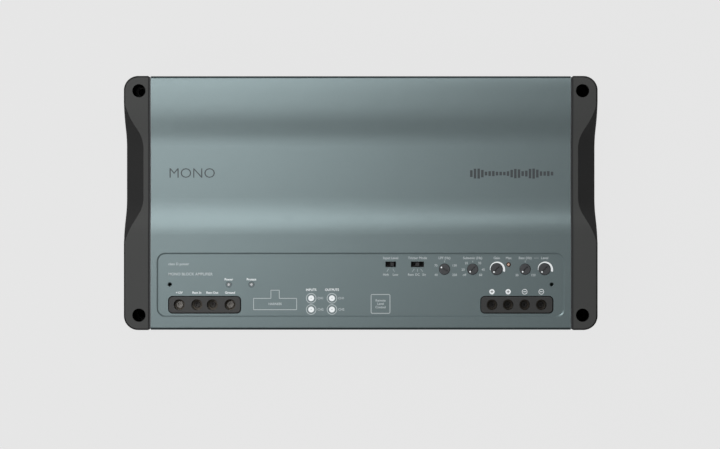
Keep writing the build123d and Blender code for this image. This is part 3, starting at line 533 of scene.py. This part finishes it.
# rotary controls: heading, then each number with its place from the knob's axis
low_pass_scale = (("70", -6.9, 2.9), ("130", 7.9, 2.9), ("40", -6.7, -4.6), ("250", 8.0, -4.6))
subsonic_scale = (
    ("25", -5.0, 4.8),
    ("35", 5.6, 4.8),
    ("20", -7.6, -0.4),
    ("45", 8.4, -0.4),
    ("off", -6.6, -4.6),
    ("60", 6.3, -4.6),
)
knob_words = {
    "low_pass": ("LPF (Hz)", low_pass_scale),
    "subsonic": ("Subsonic (Hz)", subsonic_scale),
    "gain": ("Gain", ()),
    "bass_frequency": ("Bass (Hz)", (("30", -6.6, -4.8), ("120", 6.4, -4.8))),
    "bass_level": ("Level", ()),
}
ARC_RADIUS = 5.05
ARC_STEPS = 40
DOT_RADIUS = 0.65
DOT_INSET = 1.35
LOW_PASS_DOT, OTHER_DOTS = 150, 225


def swelling_arc(x, y):
    """A band around a knob that starts thin at the left and ends thick at the right."""
    sweep = [math.radians(188 - 206 * i / ARC_STEPS) for i in range(ARC_STEPS + 1)]
    reach = [ARC_RADIUS + 0.35 + 1.4 * i / ARC_STEPS for i in range(ARC_STEPS + 1)]
    outer = [(x + r * math.cos(a), y + r * math.sin(a)) for a, r in zip(sweep, reach)]
    inner = [(x + ARC_RADIUS * math.cos(a), y + ARC_RADIUS * math.sin(a)) for a in sweep]
    return band(inner, outer)


for knob, (heading, numbers) in knob_words.items():
    x, y = column(f"{knob}_knob"), centre_of(f"{knob}_knob").y / MM
    text(f"label_{knob}", heading, x, HEADING_Y, ink_z, HEADING)
    for words, dx, dy in numbers:
        text(f"scale_{knob}_{words}", words, x + dx, y + dy, ink_z, SMALL)
    if numbers:
        flat_piece(f"tick_{knob}", stroke([(x, y + 5.6), (x, y + 6.7)], 0.35), ink_z, GREY_INK)
    else:
        flat_piece(f"arc_{knob}", swelling_arc(x, y), ink_z, WHITE_INK)
    knob_low, knob_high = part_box(f"{knob}_knob")
    reach = (knob_high[0] - knob_low[0]) / 2 / MM - DOT_INSET
    angle = math.radians(LOW_PASS_DOT if knob == "low_pass" else OTHER_DOTS)
    dot = disc(x + reach * math.cos(angle), y + reach * math.sin(angle), DOT_RADIUS, 20)
    flat_piece(f"dot_{knob}", [dot], knob_high[2] + INK_LIFT, WHITE_INK, body=f"{knob}_knob_body")
text("label_peak", "Max", column("peak_led"), HEADING_Y, ink_z, HEADING)
flat_piece("bass_link", stroke([(138.6, HEADING_Y), (142.0, HEADING_Y)], 0.25), ink_z, GREY_INK)

# generic marks in the valley of the cover
thin_letters = {"align": "LEFT", "weight": -0.1, "width": 1.05}
text("mark_mono", "MONO", LEFT_MARGIN, VALLEY_MARKS_Y, valley_ink_z, 8.2, DARK_INK, **thin_letters)
BAR_COUNT, BAR_PITCH, BAR_WIDTH = 23, 2.93, 2.0
BARS_START = 87.4
bars = []
for i in range(BAR_COUNT):
    half = 1.2 + 3.1 * abs(math.sin(0.62 * i + 0.5) * math.cos(0.21 * i))
    left = BARS_START + i * BAR_PITCH
    right = left + BAR_WIDTH
    bottom = VALLEY_MARKS_Y - half
    top = VALLEY_MARKS_Y + half
    bars.append([(left, bottom), (right, bottom), (right, top), (left, top)])
flat_piece("mark_level_bars", bars, valley_ink_z, DARK_INK)

# ---------------------------------------------------------------- studio

PAPER_GLOW = 0.775
HORIZON_LIGHT = 0.7
ZENITH_LIGHT = 0.29
SHADE_EDGE = 6 * MM
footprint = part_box("right_end_cap")[1]


def studio_paper():
    """Lit paper with a painted shadow: no glow under the amplifier."""
    s = Shader("studio_paper", (0.015, 0.015, 0.015), 0.95)
    s.set("Specular IOR Level", 0.0)
    s.set("Emission Color", (1.0, 1.0, 1.0, 1.0))
    axes = s.tree.nodes.new("ShaderNodeSeparateXYZ")
    s.link(s.coords, axes.inputs["Vector"])
    shades = []
    for axis, reach in zip("XY", footprint):
        away = s.math("ABSOLUTE", axes.outputs[axis], 0.0)
        shades.append(s.remap(away, 1, 0, reach - SHADE_EDGE, reach))
    # painted shadow: the glow fades to nothing over SHADE_EDGE inside the footprint of the amplifier
    shade = s.math("MULTIPLY", *shades)
    s.link(s.remap(shade, PAPER_GLOW, 0.0, 0, 1), s.bsdf.inputs["Emission Strength"])
    return s.material


floor_mesh = bpy.data.meshes.new("studio_floor")
floor_form = bmesh.new()
bmesh.ops.create_circle(floor_form, cap_ends=True, radius=30.0, segments=64)
floor_form.to_mesh(floor_mesh)
floor_form.free()
floor = bpy.data.objects.new("studio_floor", floor_mesh)
bpy.context.scene.collection.objects.link(floor)
floor_mesh.materials.append(studio_paper())

world = bpy.data.worlds.new("studio_world")
bpy.context.scene.world = world
world.use_nodes = True
sky = world.node_tree
background = sky.nodes["Background"]
background.inputs["Color"].default_value = (1.0, 1.0, 1.0, 1.0)
direction = sky.nodes.new("ShaderNodeSeparateXYZ")
sky.links.new(sky.nodes.new("ShaderNodeTexCoord").outputs["Generated"], direction.inputs["Vector"])
dome = sky.nodes.new("ShaderNodeMapRange")
dome.interpolation_type = "SMOOTHSTEP"
dome.inputs["From Min"].default_value = 0.1
dome.inputs["From Max"].default_value = 0.75
dome.inputs["To Min"].default_value = HORIZON_LIGHT
dome.inputs["To Max"].default_value = ZENITH_LIGHT
sky.links.new(direction.outputs["Z"], dome.inputs["Value"])
sky.links.new(dome.outputs["Result"], background.inputs["Strength"])


def area_light(name, place, aim, size, power, color=(1, 1, 1)):
    light = bpy.data.lights.new(name, "AREA")
    light.shape = "RECTANGLE"
    light.size, light.size_y = size
    light.energy = power
    light.color = color
    lamp = bpy.data.objects.new(name, light)
    bpy.context.scene.collection.objects.link(lamp)
    lamp.location = place
    lamp.rotation_euler = (Vector(aim) - Vector(place)).to_track_quat("-Z", "Y").to_euler()


area_light("softbox_front_left", (-0.9, -0.6, 1.2), (0, 0, 0.05), (0.7, 0.7), 10.0)
area_light("softbox_rear", (-0.1, 1.1, 1.2), (0, 0, 0.05), (0.7, 0.7), 6.8)
area_light("softbox_above", (-0.2, 0.2, 0.8), (0, 0, 0.05), (0.4, 0.4), 1.8)
area_light("softbox_low", (-1.5, 1.6, 0.3), (0, 0, 0.05), (1.4, 0.4), 14.0)

# ---------------------------------------------------------------- camera

camera_data = bpy.data.cameras.new("camera")
camera = bpy.data.objects.new("camera", camera_data)
bpy.context.scene.collection.objects.link(camera)
bpy.context.scene.camera = camera
CAMERA_HEIGHT = 3.0
VIEW_WIDTH = 574.8 * MM
VIEW_CENTRE = (-0.6 * MM, -17.2 * MM)
camera_data.sensor_width = 36.0
camera_data.lens = 36.0 * CAMERA_HEIGHT / VIEW_WIDTH
camera_data.clip_end = 60.0
camera.location = (*VIEW_CENTRE, crest_z + CAMERA_HEIGHT)
bpy.context.scene.view_settings.view_transform = "Standard"
